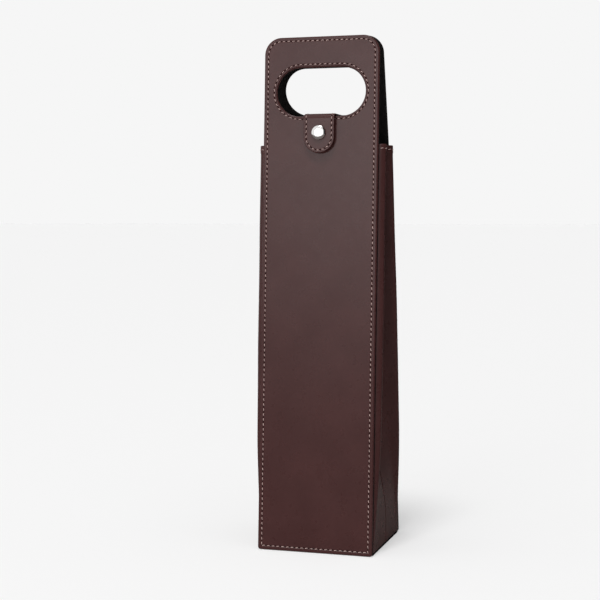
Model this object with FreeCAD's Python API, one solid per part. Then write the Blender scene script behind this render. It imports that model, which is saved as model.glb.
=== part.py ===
import FreeCAD, Part
import math
import os

# A tall carrier for one bottle. Two stiff panels, each with a handle hole, stand on a base.
# Folded gussets close the sides, and a strap sewn inside the back panel reaches over the
# lower edge of the front handle hole and snaps shut on the front.
# Millimetres and degrees. The origin is on the floor under the middle of the base, X runs
# across the front panel, -Y is the front and +Z is up.

Vector = FreeCAD.Vector
X_AXIS = Vector(1, 0, 0)
Z_AXIS = Vector(0, 0, 1)

# Whole carrier. Both panels lean, and share the way from the base's depth to the top's.
# The back panel is longer and bends forwards above the gussets, so the handle holes line up.
CARRIER_WIDTH = 83.0
CARRIER_DEPTH = 85.0
PANEL_LENGTH = 360.5
TOP_DEPTH = 11.0
FRONT_LEAN_SHARE = 0.2477
BACK_EXTRA_LENGTH = 4.7
BACK_BEND_DEG = 6.5
BACK_BEND_RADIUS = 80.0
BODY_CLEARANCE = 0.3
CUT_OVERRUN = 1.0
JOIN_TOLERANCE = 1e-6

# Panels: a facing turned over the edges of a board, with a lining set in behind
FACING_THICKNESS = 1.2
BOARD_THICKNESS = 2.0
LINING_THICKNESS = 0.8
EDGE_ROUND = 1.0
TOP_CORNER_RADIUS = 12.0
BOTTOM_CORNER_RADIUS = 4.0
HANDLE_HEIGHT = 34.0
HANDLE_SIDE_MARGIN = 9.5
HANDLE_TOP_MARGIN = 21.5

# Sewing thread, laid on the leather as one raised line for each row of stitches
THREAD_WIDTH = 0.6
THREAD_STAND = 0.4
EDGE_SEAM_INSET = 2.6
HANDLE_SEAM_INSET = 1.8
STRAP_SEAM_INSET = 1.6
HEM_SEAM_DROP = 2.6

# Base
BASE_COVER_THICKNESS = 1.2
BASE_BOARD_THICKNESS = 1.6
BASE_LINING_THICKNESS = 0.8
BASE_CORNER_RADIUS = 3.0

# Gussets: a sheet that rolls outwards beside each panel and folds inwards along its middle
GUSSET_TOP_DROP = 75.5
GUSSET_THICKNESS = 1.0
GUSSET_LINING_THICKNESS = 0.6
GUSSET_LAYER_GAP = 0.1
GUSSET_BULGE = 4.0
GUSSET_ROLL_DEPTH = 7.5
GUSSET_FOLD_RADIUS = 1.8

# Strap with its snap
STRAP_WIDTH = 22.0
STRAP_THICKNESS = 1.6
STRAP_STAND = 2.6
STRAP_FLAP_LENGTH = 26.0
STRAP_RIM_CLEARANCE = 0.3
SNAP_DROP = 12.0
SNAP_CAP_DIAMETER = 10.4
SNAP_CAP_RIM = 0.7
SNAP_CAP_CROWN = 1.5
SNAP_SOCKET_DIAMETER = 9.2
SNAP_SOCKET_PLATE = 0.4
SNAP_STUD_FLANGE_DIAMETER = 9.0
SNAP_STUD_FLANGE = 0.8
SNAP_STUD_HEIGHT = 1.1
SNAP_STUD_DIAMETER = 4.0
SNAP_STUD_TIP_DIAMETER = 2.8
SNAP_STUD_PLAY = 0.7
SNAP_SHANK_DIAMETER = 3.0
SNAP_SHANK_PLAY = 0.1
SNAP_WASHER_DIAMETER = 9.0
SNAP_WASHER_THICKNESS = 0.6

# Shape of the gusset at shares of its height, and the poles of its section as shares of
# the bulge, the crease depth, the roll and the run from the roll to the crease
GUSSET_LEVEL_SHARES = (0.0, 0.1, 0.28, 0.6, 1.0)
GUSSET_BULGE_SHARES = (0.0, 0.45, 0.95, 1.0, 1.0)
GUSSET_CREASE_SHARES = (0.0, 0.3, 0.57, 0.82, 1.0)
GUSSET_POLE_SHARES = (
    (0.0, 0.0, 0.0, 0.0),
    (1.2, 0.0, 0.12, 0.0),
    (1.2, 0.0, 0.78, 0.0),
    (0.0, 0.15, 1.0, 0.0),
    (0.0, 0.6, 1.0, 0.55),
    (0.0, 1.0, 1.0, 1.0),
)
ROLL_LIMIT_SHARE = 0.8
# A face belongs to the outside of a panel if at least this share of its normal points outwards
OUTER_FACE_SHARE = 0.9

# Sizes that follow from those above
PANEL_THICKNESS = FACING_THICKNESS + BOARD_THICKNESS + LINING_THICKNESS
BASE_HEIGHT = BASE_COVER_THICKNESS + BASE_BOARD_THICKNESS + BASE_LINING_THICKNESS
LEAN_TRAVEL = CARRIER_DEPTH - TOP_DEPTH
FRONT_LEAN = math.asin(FRONT_LEAN_SHARE * LEAN_TRAVEL / PANEL_LENGTH)
BACK_TRAVEL = (1 - FRONT_LEAN_SHARE) * LEAN_TRAVEL
GUSSET_TOP_HEIGHT = PANEL_LENGTH - GUSSET_TOP_DROP
BACK_BEND = math.radians(BACK_BEND_DEG)
BACK_LENGTH = PANEL_LENGTH + BACK_EXTRA_LENGTH
BACK_LOWER_LENGTH = GUSSET_TOP_HEIGHT + BACK_BEND_RADIUS * math.tan(BACK_BEND / 2)
BACK_UPPER_LENGTH = BACK_LENGTH - BACK_LOWER_LENGTH
# From the back panel's foot to its top, along and across its lower part
BACK_REACH = Vector(
    BACK_LOWER_LENGTH + BACK_UPPER_LENGTH * math.cos(BACK_BEND),
    BACK_UPPER_LENGTH * math.sin(BACK_BEND),
    0,
)
BACK_LEAN = math.asin(BACK_TRAVEL / BACK_REACH.Length) - BACK_REACH.getAngle(X_AXIS)
FRONT_LIFT = PANEL_THICKNESS * math.sin(FRONT_LEAN)
BACK_LIFT = PANEL_THICKNESS * math.sin(BACK_LEAN)
HANDLE_LENGTH = CARRIER_WIDTH - 2 * HANDLE_SIDE_MARGIN
HANDLE_RIM_HEIGHT = PANEL_LENGTH - HANDLE_TOP_MARGIN - HANDLE_HEIGHT
BACK_RIM_HEIGHT = BACK_LENGTH - HANDLE_TOP_MARGIN - HANDLE_HEIGHT
STRAP_FOLD_HEIGHT = HANDLE_RIM_HEIGHT + STRAP_RIM_CLEARANCE + STRAP_THICKNESS / 2
STRAP_FOLD_DEPTH = -STRAP_STAND - STRAP_THICKNESS / 2
STRAP_ROOT_DEPTH = PANEL_THICKNESS + STRAP_THICKNESS / 2
SNAP_HEIGHT = HANDLE_RIM_HEIGHT - SNAP_DROP

# A panel's own frame has x across, y inwards from its outer face and z up along it.
FRONT_PLACE = FreeCAD.Placement(
    Vector(0, -CARRIER_DEPTH / 2, FRONT_LIFT),
    FreeCAD.Rotation(X_AXIS, -math.degrees(FRONT_LEAN)),
)
BACK_PLACE = FreeCAD.Placement(
    Vector(0, CARRIER_DEPTH / 2, BACK_LIFT),
    FreeCAD.Rotation(X_AXIS, math.degrees(BACK_LEAN)).multiply(FreeCAD.Rotation(Z_AXIS, 180)),
)
# Above its bend the back panel has a frame of its own, in which heights still run along it.
BEND_TURN = FreeCAD.Rotation(X_AXIS, -BACK_BEND_DEG)
BEND_END = Vector(
    0,
    BACK_BEND_RADIUS * (1 - math.cos(BACK_BEND)),
    GUSSET_TOP_HEIGHT + BACK_BEND_RADIUS * math.sin(BACK_BEND),
)
BEND_END_HEIGHT = GUSSET_TOP_HEIGHT + BACK_BEND_RADIUS * BACK_BEND
BEND_PLACE = FreeCAD.Placement(
    BEND_END - BEND_TURN.multVec(Vector(0, 0, BEND_END_HEIGHT)), BEND_TURN
)
BACK_TOP_PLACE = BACK_PLACE.multiply(BEND_PLACE)
# The base's own frame has y upwards from the floor and z towards the front.
BASE_PLACE = FreeCAD.Placement(Vector(0, 0, 0), FreeCAD.Rotation(X_AXIS, 90))


def placed(shape, placement):
    """A copy of a shape moved from its own frame to the carrier's."""
    moved = shape.copy()
    moved.Placement = placement.multiply(moved.Placement)
    return moved


def rounded_wire(corners):
    """A closed outline in the XZ plane through corners given as x, z and radius."""
    points = [Vector(x, 0, z) for x, z, radius in corners]
    starts = []
    ends = []
    arcs = []
    for index, (x, z, radius) in enumerate(corners):
        here = points[index]
        backward = (points[index - 1] - here).normalize()
        forward = (points[(index + 1) % len(points)] - here).normalize()
        half_angle = backward.getAngle(forward) / 2
        start = here + backward * (radius / math.tan(half_angle))
        end = here + forward * (radius / math.tan(half_angle))
        inward = (backward + forward).normalize()
        middle = here + inward * (radius / math.sin(half_angle) - radius)
        starts.append(start)
        ends.append(end)
        arcs.append(Part.Arc(start, middle, end).toShape() if radius > 0 else None)
    edges = []
    for index, arc in enumerate(arcs):
        if arc:
            edges.append(arc)
        following = starts[(index + 1) % len(starts)]
        if ends[index].distanceToPoint(following) > JOIN_TOLERANCE:
            edges.append(Part.LineSegment(ends[index], following).toShape())
    return Part.Wire(edges)


def prism(wire, depth_from, depth_to):
    """An XZ outline thickened along Y."""
    face = Part.Face(wire)
    face.translate(Vector(0, depth_from, 0))
    return face.extrude(Vector(0, depth_to - depth_from, 0))


def disc(diameter, depth_from, depth_to, height):
    """A round plate on a line along Y at a height in a panel's own frame."""
    length = depth_to - depth_from
    return Part.makeCylinder(diameter / 2, length, Vector(0, depth_from, height), Vector(0, 1, 0))


def panel_wire(length, inset):
    half = CARRIER_WIDTH / 2 - inset
    high = length - inset
    low_round = max(BOTTOM_CORNER_RADIUS - inset, 0)
    high_round = max(TOP_CORNER_RADIUS - inset, 0)
    return rounded_wire([
        (-half, inset, low_round),
        (half, inset, low_round),
        (half, high, high_round),
        (-half, high, high_round),
    ])


def handle_wire(rim_height, outset):
    half = HANDLE_LENGTH / 2 + outset
    radius = HANDLE_HEIGHT / 2 + outset
    low = rim_height - outset
    high = low + 2 * radius
    return rounded_wire([
        (-half, low, radius),
        (half, low, radius),
        (half, high, radius),
        (-half, high, radius),
    ])


def bent_line(points):
    """A straight run, an arc and a second straight run through five points."""
    first, start, middle, end, last = points
    return [
        Part.LineSegment(first, start).toShape(),
        Part.Arc(start, middle, end).toShape(),
        Part.LineSegment(end, last).toShape(),
    ]


def bent_sheet(outer, inner, width):
    """A sheet between two bent lines, drawn out across its width."""
    far_end = Part.LineSegment(outer[-1], inner[-1]).toShape()
    low_end = Part.LineSegment(inner[0], outer[0]).toShape()
    outline = Part.Wire(bent_line(outer) + [far_end] + bent_line(inner[::-1]) + [low_end])
    face = Part.Face(outline)
    face.translate(X_AXIS * (-width / 2))
    return face.extrude(X_AXIS * width)


class FrontPanel:
    """The front panel, flat in its own frame."""

    def plate(self, depth_from, depth_to, inset):
        return prism(panel_wire(PANEL_LENGTH, inset), depth_from, depth_to)

    def handle(self, depth_from, depth_to, outset):
        return prism(handle_wire(HANDLE_RIM_HEIGHT, outset), depth_from, depth_to)


class BackPanel:
    """The back panel, bent forwards in its own frame."""

    def side_line(self, depth):
        """Points up the panel at a depth, from below its foot to above its top."""
        centre = Vector(0, BACK_BEND_RADIUS, GUSSET_TOP_HEIGHT)
        radius = BACK_BEND_RADIUS - depth
        bend = []
        for angle in (0, BACK_BEND / 2, BACK_BEND):
            bend.append(centre + Vector(0, -math.cos(angle), math.sin(angle)) * radius)
        top = BEND_PLACE.multVec(Vector(0, depth, BACK_LENGTH + CUT_OVERRUN))
        return [Vector(0, depth, -CUT_OVERRUN)] + bend + [top]

    def plate(self, depth_from, depth_to, inset):
        """A bent sheet, cut at its foot and at its head to the panel's outline."""
        outer = self.side_line(depth_from)
        inner = self.side_line(depth_to)
        sheet = bent_sheet(outer, inner, CARRIER_WIDTH)
        foot = prism(panel_wire(2 * BACK_LENGTH, inset), -BACK_LENGTH, BACK_LENGTH)
        head_wire = panel_wire(2 * BACK_LENGTH, inset)
        head_wire.translate(Vector(0, 0, -BACK_LENGTH))
        head = placed(prism(head_wire, -BACK_LENGTH, BACK_LENGTH), BEND_PLACE)
        return sheet.common(foot).common(head)

    def handle(self, depth_from, depth_to, outset):
        hole = prism(handle_wire(BACK_RIM_HEIGHT, outset), depth_from, depth_to)
        return placed(hole, BEND_PLACE)


def panel_layer(panel, depth_from, depth_to, inset):
    """A layer of a panel, held back from the panel's edge and handle hole by an inset."""
    hole = panel.handle(depth_from - CUT_OVERRUN, depth_to + CUT_OVERRUN, inset)
    return panel.plate(depth_from, depth_to, inset).cut(hole)


def rim_edges(skin):
    """The edges all round the outer face of a panel, and not the lines across its bend."""
    counts = {}
    edges = {}
    for face in skin.Faces:
        low_u, high_u, low_v, high_v = face.ParameterRange
        normal = face.normalAt((low_u + high_u) / 2, (low_v + high_v) / 2)
        if normal.y < -OUTER_FACE_SHARE:
            for edge in face.Edges:
                counts[edge.hashCode()] = counts.get(edge.hashCode(), 0) + 1
                edges[edge.hashCode()] = edge
    return [edge for code, edge in edges.items() if counts[code] == 1]


def panel_facing(panel):
    """The outer skin, turned over the edges of the panel and of the handle hole."""
    skin = panel_layer(panel, 0, PANEL_THICKNESS, 0)
    rounded = skin.makeFillet(EDGE_ROUND, rim_edges(skin))
    pocket = panel_layer(panel, FACING_THICKNESS, PANEL_THICKNESS + CUT_OVERRUN, FACING_THICKNESS)
    return rounded.cut(pocket)


def panel_board(panel):
    bottom = FACING_THICKNESS + BOARD_THICKNESS
    return panel_layer(panel, FACING_THICKNESS, bottom, FACING_THICKNESS)


def panel_lining(panel):
    top = FACING_THICKNESS + BOARD_THICKNESS
    return panel_layer(panel, top, PANEL_THICKNESS, FACING_THICKNESS)


def edge_thread(panel):
    wide = panel.plate(-THREAD_STAND, 0, EDGE_SEAM_INSET)
    inset = EDGE_SEAM_INSET + THREAD_WIDTH
    return wide.cut(panel.plate(-THREAD_STAND - CUT_OVERRUN, CUT_OVERRUN, inset))


def handle_thread(panel):
    """The handle's seam, which grows outwards from the hole."""
    outer = panel.handle(-THREAD_STAND, 0, HANDLE_SEAM_INSET + THREAD_WIDTH)
    return outer.cut(panel.handle(-THREAD_STAND - CUT_OVERRUN, CUT_OVERRUN, HANDLE_SEAM_INSET))


def seam(wire_at, inset, depth_from, depth_to):
    """A line of thread between two insets of one outline."""
    wide = prism(wire_at(inset), depth_from, depth_to)
    narrow = prism(
        wire_at(inset + THREAD_WIDTH), depth_from - CUT_OVERRUN, depth_to + CUT_OVERRUN
    )
    return wide.cut(narrow)


def base_wire(inset):
    """The plan of the base, which fits between the two leaning panels."""
    half = CARRIER_WIDTH / 2 - inset
    front = -front_inner_y(BASE_HEIGHT) - BODY_CLEARANCE - inset
    back = -back_inner_y(BASE_HEIGHT) + BODY_CLEARANCE + inset
    radius = max(BASE_CORNER_RADIUS - inset, 0)
    return rounded_wire([
        (-half, back, radius),
        (half, back, radius),
        (half, front, radius),
        (-half, front, radius),
    ])


def base_cover():
    """A shallow tray of the same leather, with its flat underside on the floor."""
    block = prism(base_wire(0), 0, BASE_HEIGHT)
    pocket = prism(
        base_wire(BASE_COVER_THICKNESS), BASE_COVER_THICKNESS, BASE_HEIGHT + CUT_OVERRUN
    )
    return block.cut(pocket)


def base_board():
    top = BASE_COVER_THICKNESS + BASE_BOARD_THICKNESS
    return prism(base_wire(BASE_COVER_THICKNESS), BASE_COVER_THICKNESS, top)


def base_lining():
    bottom = BASE_COVER_THICKNESS + BASE_BOARD_THICKNESS
    return prism(base_wire(BASE_COVER_THICKNESS), bottom, BASE_HEIGHT)


def front_inner_y(height):
    """Where the front panel's lining is at a height above the floor."""
    along = PANEL_THICKNESS / math.cos(FRONT_LEAN)
    return -CARRIER_DEPTH / 2 + along + (height - FRONT_LIFT) * math.tan(FRONT_LEAN)


def back_inner_y(height):
    """Where the back panel's lining is at a height above the floor."""
    along = PANEL_THICKNESS / math.cos(BACK_LEAN)
    return CARRIER_DEPTH / 2 - along - (height - BACK_LIFT) * math.tan(BACK_LEAN)


def gusset_half_depth(height):
    """Half of the room between the two panels that a gusset closes."""
    return (back_inner_y(height) - front_inner_y(height)) / 2 - BODY_CLEARANCE


def share_at(height, shares):
    """A value between the rows of a table of shares of the gusset's height."""
    level = (height - BASE_HEIGHT) / (GUSSET_TOP_HEIGHT - BASE_HEIGHT)
    row = 0
    while row < len(shares) - 2 and GUSSET_LEVEL_SHARES[row + 1] < level:
        row += 1
    low = GUSSET_LEVEL_SHARES[row]
    part = (level - low) / (GUSSET_LEVEL_SHARES[row + 1] - low)
    return shares[row] + part * (shares[row + 1] - shares[row])


def crease_depth():
    """How far in the fold lies at the top, from the width of the sheet at the base."""
    sheet = gusset_half_depth(BASE_HEIGHT)
    roll_girth = 2 * math.hypot(GUSSET_ROLL_DEPTH / 2, GUSSET_BULGE)
    run_width = gusset_half_depth(GUSSET_TOP_HEIGHT) - GUSSET_ROLL_DEPTH
    return math.sqrt((sheet - roll_girth) ** 2 - run_width ** 2)


def gusset_poles(height):
    """The section of a gusset at a height, from the front panel round the fold to the back."""
    edge = CARRIER_WIDTH / 2 - GUSSET_THICKNESS / 2
    half = gusset_half_depth(height)
    middle = (back_inner_y(height) + front_inner_y(height)) / 2
    bulge = GUSSET_BULGE * share_at(height, GUSSET_BULGE_SHARES)
    crease = crease_depth() * share_at(height, GUSSET_CREASE_SHARES)
    roll = min(GUSSET_ROLL_DEPTH, half * ROLL_LIMIT_SHARE)
    run = half - roll - GUSSET_FOLD_RADIUS
    front_poles = []
    back_poles = []
    for bulge_share, crease_share, roll_share, run_share in GUSSET_POLE_SHARES:
        out = edge + bulge * bulge_share - crease * crease_share
        inward = half - roll * roll_share - run * run_share
        front_poles.append(Vector(out, middle - inward, height))
        back_poles.append(Vector(out, middle + inward, height))
    return front_poles + back_poles[::-1]


def offset_poles(poles, offset):
    """Poles moved outwards from the bag, square to the line through their neighbours."""
    moved = []
    for index, pole in enumerate(poles):
        ahead = poles[min(index + 1, len(poles) - 1)]
        behind = poles[max(index - 1, 0)]
        along = (ahead - behind).normalize()
        if index in (0, len(poles) - 1):
            outward = X_AXIS
        else:
            outward = Vector(along.y, -along.x, 0)
        moved.append(pole + outward * offset)
    return moved


def gusset_section(height, inner_offset, outer_offset):
    """A closed outline of a sheet between two offsets from the gusset's middle surface."""
    poles = gusset_poles(height)
    outer = offset_poles(poles, outer_offset)
    inner = offset_poles(poles, inner_offset)
    outer_curve = Part.BSplineCurve()
    outer_curve.buildFromPoles(outer)
    inner_curve = Part.BSplineCurve()
    inner_curve.buildFromPoles(inner[::-1])
    return Part.Wire([
        outer_curve.toShape(),
        Part.LineSegment(outer[-1], inner[-1]).toShape(),
        inner_curve.toShape(),
        Part.LineSegment(inner[0], outer[0]).toShape(),
    ])


def gusset_sheet(heights, inner_offset, outer_offset):
    """The right gusset's sheet between two offsets, through sections at some heights."""
    sections = [gusset_section(height, inner_offset, outer_offset) for height in heights]
    return Part.makeLoft(sections, True)


def gusset_heights():
    tall = GUSSET_TOP_HEIGHT - BASE_HEIGHT
    return [BASE_HEIGHT + tall * share for share in GUSSET_LEVEL_SHARES]


def gusset():
    return gusset_sheet(gusset_heights(), -GUSSET_THICKNESS / 2, GUSSET_THICKNESS / 2)


def gusset_lining():
    outside = -GUSSET_THICKNESS / 2 - GUSSET_LAYER_GAP
    return gusset_sheet(gusset_heights(), outside - GUSSET_LINING_THICKNESS, outside)


def gusset_thread():
    """The hem's seam, just under the top edge."""
    top = GUSSET_TOP_HEIGHT - HEM_SEAM_DROP
    outside = GUSSET_THICKNESS / 2 + GUSSET_LAYER_GAP
    return gusset_sheet([top - THREAD_WIDTH, top], outside, outside + THREAD_STAND)


def strap_wire(low, high, low_radius, inset):
    half = STRAP_WIDTH / 2 - inset
    round_low = max(low_radius - inset, 0)
    return rounded_wire([
        (-half, low + inset, round_low),
        (half, low + inset, round_low),
        (half, high - inset, 0),
        (-half, high - inset, 0),
    ])


def flap_wire(inset):
    """The strap's front end, round at the bottom."""
    low = HANDLE_RIM_HEIGHT - STRAP_FLAP_LENGTH + STRAP_RIM_CLEARANCE
    high = STRAP_FOLD_HEIGHT + STRAP_THICKNESS / 2
    return strap_wire(low, high, STRAP_WIDTH / 2, inset)


def root_wire(inset):
    """The sewn end, from the back panel's bend up to just below the bridge."""
    top = strap_root_height() - STRAP_THICKNESS / 2 - BODY_CLEARANCE
    return strap_wire(BEND_END_HEIGHT, top, 0, inset)


def flap_layer(depth_from, depth_to):
    plate = prism(flap_wire(0), depth_from, depth_to)
    return plate.cut(shank_hole(depth_from, depth_to))


def flap_facing():
    return flap_layer(-STRAP_STAND - STRAP_THICKNESS, STRAP_FOLD_DEPTH)


def flap_lining():
    return flap_layer(STRAP_FOLD_DEPTH, -STRAP_STAND)


def flap_thread():
    outside = -STRAP_STAND - STRAP_THICKNESS
    return seam(flap_wire, STRAP_SEAM_INSET, outside - THREAD_STAND, outside)


def strap_root():
    return prism(root_wire(0), PANEL_THICKNESS, PANEL_THICKNESS + STRAP_THICKNESS)


def strap_root_thread():
    inside = PANEL_THICKNESS + STRAP_THICKNESS
    return seam(root_wire, STRAP_SEAM_INSET, inside, inside + THREAD_STAND)


def strap_fold_point():
    """The line that the flap turns about, level with the strap's mid thickness."""
    return FRONT_PLACE.multVec(Vector(0, STRAP_FOLD_DEPTH, STRAP_FOLD_HEIGHT))


def strap_root_height():
    """How far up the back panel the strap leaves it, level with the front panel's handle rim."""
    start = BACK_TOP_PLACE.multVec(Vector(0, STRAP_ROOT_DEPTH, 0))
    rise = BACK_TOP_PLACE.Rotation.multVec(Z_AXIS)
    return (strap_fold_point().z - start.z) / rise.z


def strap_root_point():
    """The line that the bridge turns about, above the strap's sewn end."""
    return BACK_TOP_PLACE.multVec(Vector(0, STRAP_ROOT_DEPTH, strap_root_height()))


def bridge_layer(offset_from, offset_to):
    """A level layer between the two panels, at offsets from the strap's mid thickness."""
    root = strap_root_point()
    fold = strap_fold_point()
    fold_gap = STRAP_THICKNESS / math.sqrt(2) + BODY_CLEARANCE
    length = root.y - fold.y - fold_gap
    corner = Vector(-STRAP_WIDTH / 2, root.y - length, root.z + offset_from)
    return Part.makeBox(STRAP_WIDTH, length, offset_to - offset_from, corner)


def bridge_facing():
    return bridge_layer(0, STRAP_THICKNESS / 2)


def bridge_lining():
    return bridge_layer(-STRAP_THICKNESS / 2, 0)


def shank_hole(depth_from, depth_to):
    """The hole that the snap's shank passes through a layer of leather or board."""
    diameter = SNAP_SHANK_DIAMETER + 2 * SNAP_SHANK_PLAY
    return disc(diameter, depth_from - CUT_OVERRUN, depth_to + CUT_OVERRUN, SNAP_HEIGHT)


def snap_cap():
    """A domed metal button with a shank through the flap."""
    leather = -STRAP_STAND - STRAP_THICKNESS
    rim = disc(SNAP_CAP_DIAMETER, leather - SNAP_CAP_RIM, leather, SNAP_HEIGHT)
    half = SNAP_CAP_DIAMETER / 2
    ball_radius = (half ** 2 + SNAP_CAP_CROWN ** 2) / (2 * SNAP_CAP_CROWN)
    ball_depth = leather - SNAP_CAP_RIM - SNAP_CAP_CROWN + ball_radius
    ball = Part.makeSphere(ball_radius, Vector(0, ball_depth, SNAP_HEIGHT))
    front = disc(
        SNAP_CAP_DIAMETER, leather - SNAP_CAP_RIM - SNAP_CAP_CROWN, leather, SNAP_HEIGHT
    )
    shank = disc(SNAP_SHANK_DIAMETER, leather, -STRAP_STAND + SNAP_SOCKET_PLATE, SNAP_HEIGHT)
    return rim.fuse([ball.common(front), shank]).removeSplitter()


def snap_socket():
    """The ring behind the flap that the stud enters."""
    bottom = -SNAP_STUD_FLANGE - BODY_CLEARANCE
    ring = disc(SNAP_SOCKET_DIAMETER, -STRAP_STAND, bottom, SNAP_HEIGHT)
    mouth_diameter = SNAP_STUD_DIAMETER + 2 * SNAP_STUD_PLAY
    plate = -STRAP_STAND + SNAP_SOCKET_PLATE
    mouth = disc(mouth_diameter, plate, bottom + CUT_OVERRUN, SNAP_HEIGHT)
    return ring.cut([mouth, shank_hole(-STRAP_STAND, plate)])


def snap_stud():
    """The tapered stud on its flange, on the front panel's facing."""
    flange = disc(SNAP_STUD_FLANGE_DIAMETER, -SNAP_STUD_FLANGE, 0, SNAP_HEIGHT)
    stud = Part.makeCone(
        SNAP_STUD_DIAMETER / 2,
        SNAP_STUD_TIP_DIAMETER / 2,
        SNAP_STUD_HEIGHT,
        Vector(0, -SNAP_STUD_FLANGE, SNAP_HEIGHT),
        Vector(0, -1, 0),
    )
    return flange.fuse(stud)


def snap_post():
    """The washer inside the front panel, with a shank that carries the stud."""
    washer_top = PANEL_THICKNESS + SNAP_WASHER_THICKNESS
    washer = disc(SNAP_WASHER_DIAMETER, PANEL_THICKNESS, washer_top, SNAP_HEIGHT)
    shank = disc(SNAP_SHANK_DIAMETER, 0, washer_top, SNAP_HEIGHT)
    return washer.fuse(shank).removeSplitter()


def mirrored(shape):
    """The left gusset is the right one seen in a mirror."""
    return shape.mirror(Vector(0, 0, 0), X_AXIS)


def base_nodes():
    return {
        "base_cover": placed(base_cover(), BASE_PLACE),
        "base_board": placed(base_board(), BASE_PLACE),
        "base_lining": placed(base_lining(), BASE_PLACE),
    }


def gusset_nodes():
    pieces = {
        "gusset": gusset(),
        "gusset_lining": gusset_lining(),
        "gusset_thread": gusset_thread(),
    }
    nodes = {}
    for name, shape in pieces.items():
        nodes["right_" + name] = shape
        nodes["left_" + name] = mirrored(shape)
    return nodes


def panel_nodes():
    pieces = {
        "facing": panel_facing,
        "board": panel_board,
        "lining": panel_lining,
        "edge_thread": edge_thread,
        "handle_thread": handle_thread,
    }
    snap_hole = shank_hole(0, PANEL_THICKNESS)
    nodes = {}
    for name, make in pieces.items():
        nodes["front_" + name] = placed(make(FrontPanel()).cut(snap_hole), FRONT_PLACE)
        nodes["back_" + name] = placed(make(BackPanel()), BACK_PLACE)
    return nodes


def strap_nodes():
    return {
        "strap_root": placed(strap_root(), BACK_TOP_PLACE),
        "strap_root_thread": placed(strap_root_thread(), BACK_TOP_PLACE),
        "strap_bridge_facing": bridge_facing(),
        "strap_bridge_lining": bridge_lining(),
        "strap_flap_facing": placed(flap_facing(), FRONT_PLACE),
        "strap_flap_lining": placed(flap_lining(), FRONT_PLACE),
        "strap_flap_thread": placed(flap_thread(), FRONT_PLACE),
    }


def snap_nodes():
    return {
        "snap_cap": placed(snap_cap(), FRONT_PLACE),
        "snap_socket": placed(snap_socket(), FRONT_PLACE),
        "snap_stud": placed(snap_stud(), FRONT_PLACE),
        "snap_post": placed(snap_post(), FRONT_PLACE),
    }


def main():
    os.makedirs("parts", exist_ok=True)
    nodes = {}
    for group in (base_nodes(), gusset_nodes(), panel_nodes(), strap_nodes(), snap_nodes()):
        nodes.update(group)
    for name, shape in nodes.items():
        shape.exportStep("parts/" + name + ".step")
        print(name, len(shape.Solids), shape.isValid(), round(shape.Volume, 1))
    print("flap hinge", strap_fold_point())
    print("bridge hinge", strap_root_point())


main()
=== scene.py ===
import math
from itertools import accumulate

import bmesh
import bpy
import numpy as np
from mathutils import Color, Matrix, Vector, noise
from mathutils.geometry import delaunay_2d_cdt


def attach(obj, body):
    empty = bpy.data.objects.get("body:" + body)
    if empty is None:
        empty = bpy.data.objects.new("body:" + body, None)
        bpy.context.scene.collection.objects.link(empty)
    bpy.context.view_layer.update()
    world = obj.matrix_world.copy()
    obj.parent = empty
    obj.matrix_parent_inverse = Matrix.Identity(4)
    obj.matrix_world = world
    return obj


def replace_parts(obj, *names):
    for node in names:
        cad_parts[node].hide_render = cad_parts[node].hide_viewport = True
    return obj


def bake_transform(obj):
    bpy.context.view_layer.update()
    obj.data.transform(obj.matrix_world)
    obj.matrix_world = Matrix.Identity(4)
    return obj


# The bottle carrier as it looks: leather sewn over two leaning boards, gussets that roll out and
# fold in, black linings, and a strap with a snap.
# Millimetres in the carrier's own frame: X runs across the front panel, -Y is the front, +Z is up.

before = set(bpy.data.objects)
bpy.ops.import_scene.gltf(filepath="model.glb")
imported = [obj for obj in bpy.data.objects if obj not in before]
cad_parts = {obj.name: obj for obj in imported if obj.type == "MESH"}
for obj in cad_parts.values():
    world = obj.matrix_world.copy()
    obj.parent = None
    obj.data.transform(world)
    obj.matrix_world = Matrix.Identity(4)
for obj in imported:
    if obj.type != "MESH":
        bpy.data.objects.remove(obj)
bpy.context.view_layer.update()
METRES = 0.001

# Panels
CARRIER_WIDTH = 83.0
CARRIER_DEPTH = 85.0
PANEL_LENGTH = 360.5
TOP_DEPTH = 11.0
FRONT_LEAN_SHARE = 0.2477
BACK_EXTRA_LENGTH = 4.7
BACK_BEND_DEG = 6.5
BACK_BEND_RADIUS = 80.0
PANEL_THICKNESS = 4.0
TOP_CORNER_RADIUS = 12.0
BOTTOM_CORNER_RADIUS = 2.0
HANDLE_HEIGHT = 34.0
HANDLE_SIDE_MARGIN = 9.5
HANDLE_TOP_MARGIN = 21.5
PANEL_EDGE_ROUND = 1.0
PANEL_BACK_ROUND = 0.8
TURN_IN_WIDTH = 1.9
TURN_IN_TUCK = 0.4
LINING_ROUND = 0.4
LINING_STAND = 0.06
# How far the black lining runs down the edge wall, as painted shade on the edge
LINING_SHADE_WRAP = 2.2
PANEL_WAVE_HEIGHT = 0.12
PANEL_WAVE_LENGTH = 38.0

# Seams
EDGE_SEAM_INSET = 2.9
HANDLE_SEAM_INSET = 2.1
STRAP_SEAM_INSET = 1.9
HEM_SEAM_DROP = 2.9
GROOVE_WIDTH = 1.1
GROOVE_DEPTH = 0.25
FLAT_MARGIN = 0.15
STITCH_PITCH = 3.5
STITCH_LENGTH = 2.2
STITCH_RADIUS = 0.27
STITCH_RISE = 0.3
STITCH_SLANT = 0.22
STITCH_HOLE_DEPTH = 0.45
STITCH_HOLE_RADIUS = 0.9
STITCH_TAPER_SHARE = 0.8
STITCH_TAPER_POWER = 4
NEEDLE_HOLE_RADIUS = 0.6
NEEDLE_HOLE_DEPTH = 0.12
NEEDLE_HOLE_LENGTH = 0.4

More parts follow.
